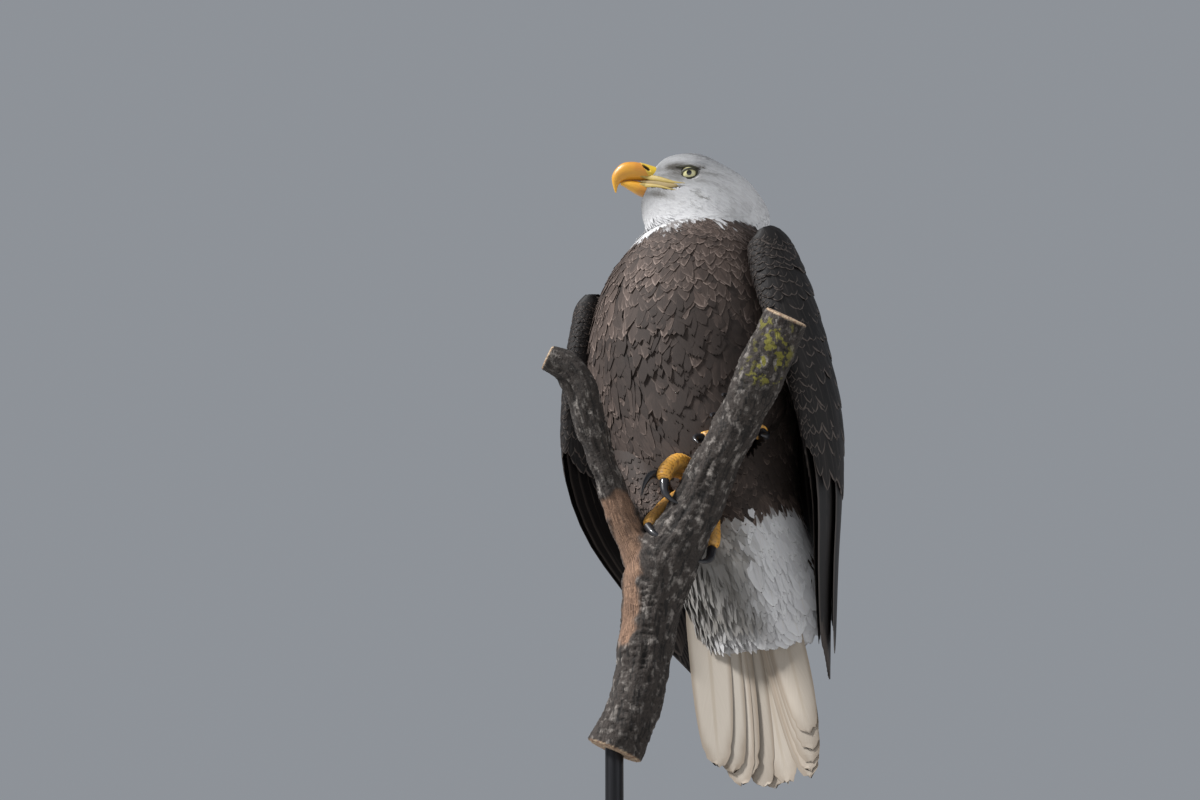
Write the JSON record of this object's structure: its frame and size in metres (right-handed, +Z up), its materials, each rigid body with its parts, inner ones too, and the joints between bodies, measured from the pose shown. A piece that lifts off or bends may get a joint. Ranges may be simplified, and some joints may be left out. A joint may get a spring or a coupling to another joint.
{
  "type": "bald eagle",
  "caption": "Adult bald eagle perched upright in the fork of a cut branch, head in profile, on a round display stand.",
  "frame": {"origin": "centre of the stand base's underside, on the floor", "axes": "+Z up; the bird's breast faces between -Y and -X, 32 degrees off -Y, and its bill points along -X; right-handed"},
  "size_m": [0.36, 0.36, 0.9068],
  "materials": {
    "plumage_white": "matte",
    "plumage_brown": "matte",
    "plumage_dark": "matte",
    "cere": "satin",
    "bill": "semi-gloss",
    "eye": "wet",
    "toe": "satin",
    "claw": "semi-gloss",
    "bark": "rough",
    "stand_wood": "satin",
    "stand_metal": "satin"
  },
  "bodies": {
    "root": {"head": "plumage_white", "neck": "plumage_white", "trunk": "plumage_brown", "vent": "plumage_white", "tail": "plumage_white", "cere": "cere", "beak_upper": "bill", "beak_lower": "bill", "eye_left": "eye", "wing_left": "plumage_dark", "leg_left": "plumage_brown", "foot_left": "toe", "claw_left_inner": "claw", "claw_left_middle": "claw", "claw_left_outer": "claw", "claw_left_hind": "claw", "eye_right": "eye", "wing_right": "plumage_dark", "leg_right": "plumage_brown", "foot_right": "toe", "claw_right_inner": "claw", "claw_right_middle": "claw", "claw_right_outer": "claw", "claw_right_hind": "claw", "perch": "bark", "stand_base": "stand_wood", "stand_collar": "stand_metal", "stand_rod": "stand_metal"}
  },
  "joints": []
}
